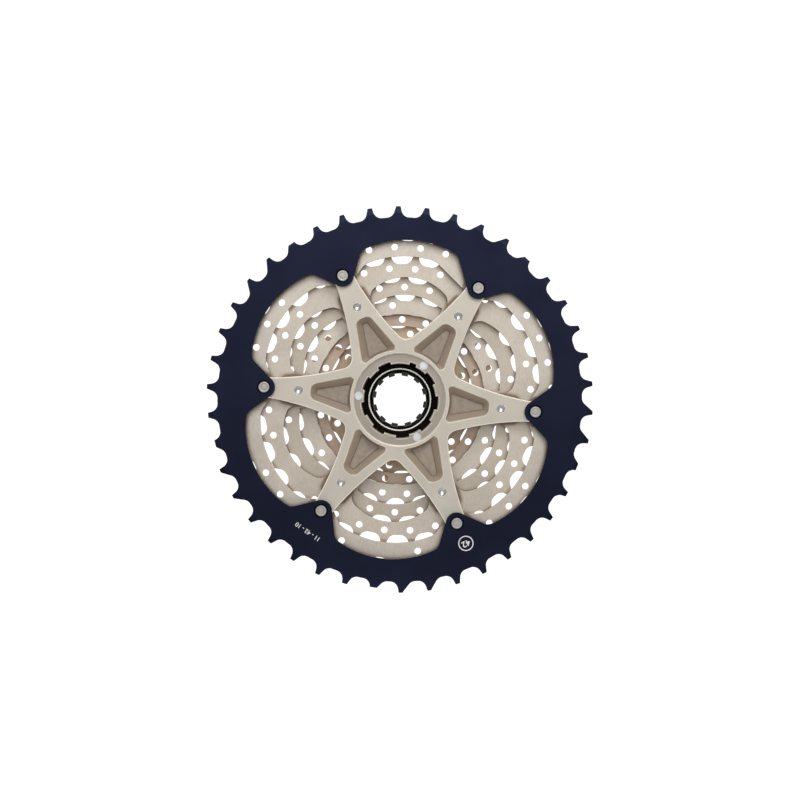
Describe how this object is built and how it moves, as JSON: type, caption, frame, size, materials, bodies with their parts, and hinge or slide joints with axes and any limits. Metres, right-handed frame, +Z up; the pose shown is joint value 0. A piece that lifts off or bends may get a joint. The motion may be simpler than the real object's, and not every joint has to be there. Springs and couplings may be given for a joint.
{
  "type": "bicycle cassette",
  "caption": "Stack of toothed rings on a six-armed spider with a splined bore, a riveted black top ring and a screwed lockring.",
  "frame": {"origin": "on the axle line, in the plane of the face that seats on the freehub shoulder", "axes": "+Y along the axle from the wheel towards the frame, +Z up, +X to the right as seen from the wheel side"},
  "size_m": [0.1717, 0.04, 0.172],
  "materials": {
    "spider_alloy": "champagne-grey satin anodised",
    "black_anodised": "blue-black satin anodised",
    "nickel_steel": "warm nickel plate, satin",
    "spacer_alloy": "plain satin",
    "rivet_steel": "bright pressed head",
    "pin_steel": "bright zinc plate",
    "washer_steel": "plain",
    "lockring_black": "glossy black anodised"
  },
  "bodies": {
    "cluster": {"spider": "spider_alloy", "sprocket_42t": "black_anodised", "sprocket_37t": "nickel_steel", "sprocket_32t": "nickel_steel", "sprocket_28t": "nickel_steel", "sprocket_24t": "nickel_steel", "sprocket_21t": "nickel_steel", "sprocket_18t": "nickel_steel", "spacer_24_21": "spacer_alloy", "spacer_21_18": "spacer_alloy", "outer_rivets": "rivet_steel", "mid_rivets": "rivet_steel", "rivet_bushes": "spacer_alloy", "cluster_pins": "pin_steel"},
    "loose_spacer": {"spacer_18_15": "spacer_alloy"},
    "loose_15t": {"sprocket_15t": "nickel_steel"},
    "loose_13t": {"sprocket_13t": "nickel_steel"},
    "loose_11t": {"sprocket_11t": "nickel_steel"},
    "washer": {"lockring_washer": "washer_steel"},
    "lockring": {"lockring": "lockring_black"}
  },
  "joints": [
    {"name": "spacer_lift", "type": "slide", "parent": "cluster", "child": "loose_spacer", "axis": [0, 1, 0], "range_m": [0, 0.012]},
    {"name": "sprocket_15t_lift", "type": "slide", "parent": "loose_spacer", "child": "loose_15t", "axis": [0, 1, 0], "range_m": [0, 0.012]},
    {"name": "sprocket_13t_lift", "type": "slide", "parent": "loose_15t", "child": "loose_13t", "axis": [0, 1, 0], "range_m": [0, 0.012]},
    {"name": "sprocket_11t_lift", "type": "slide", "parent": "loose_13t", "child": "loose_11t", "axis": [0, 1, 0], "range_m": [0, 0.012]},
    {"name": "lockring_advance", "type": "slide", "parent": "loose_11t", "child": "washer", "axis": [0, 1, 0], "range_m": [0, 0.00651]},
    {"name": "lockring_turn", "type": "hinge", "parent": "washer", "child": "lockring", "pos_m": [0, 0.03365, 0], "axis": [0, 1, 0], "range_deg": [0, 2340]}
  ],
  "couplings": [
    {"joint": "lockring_advance", "follows": "lockring_turn", "m_per_rad": 0.00015915}
  ]
}
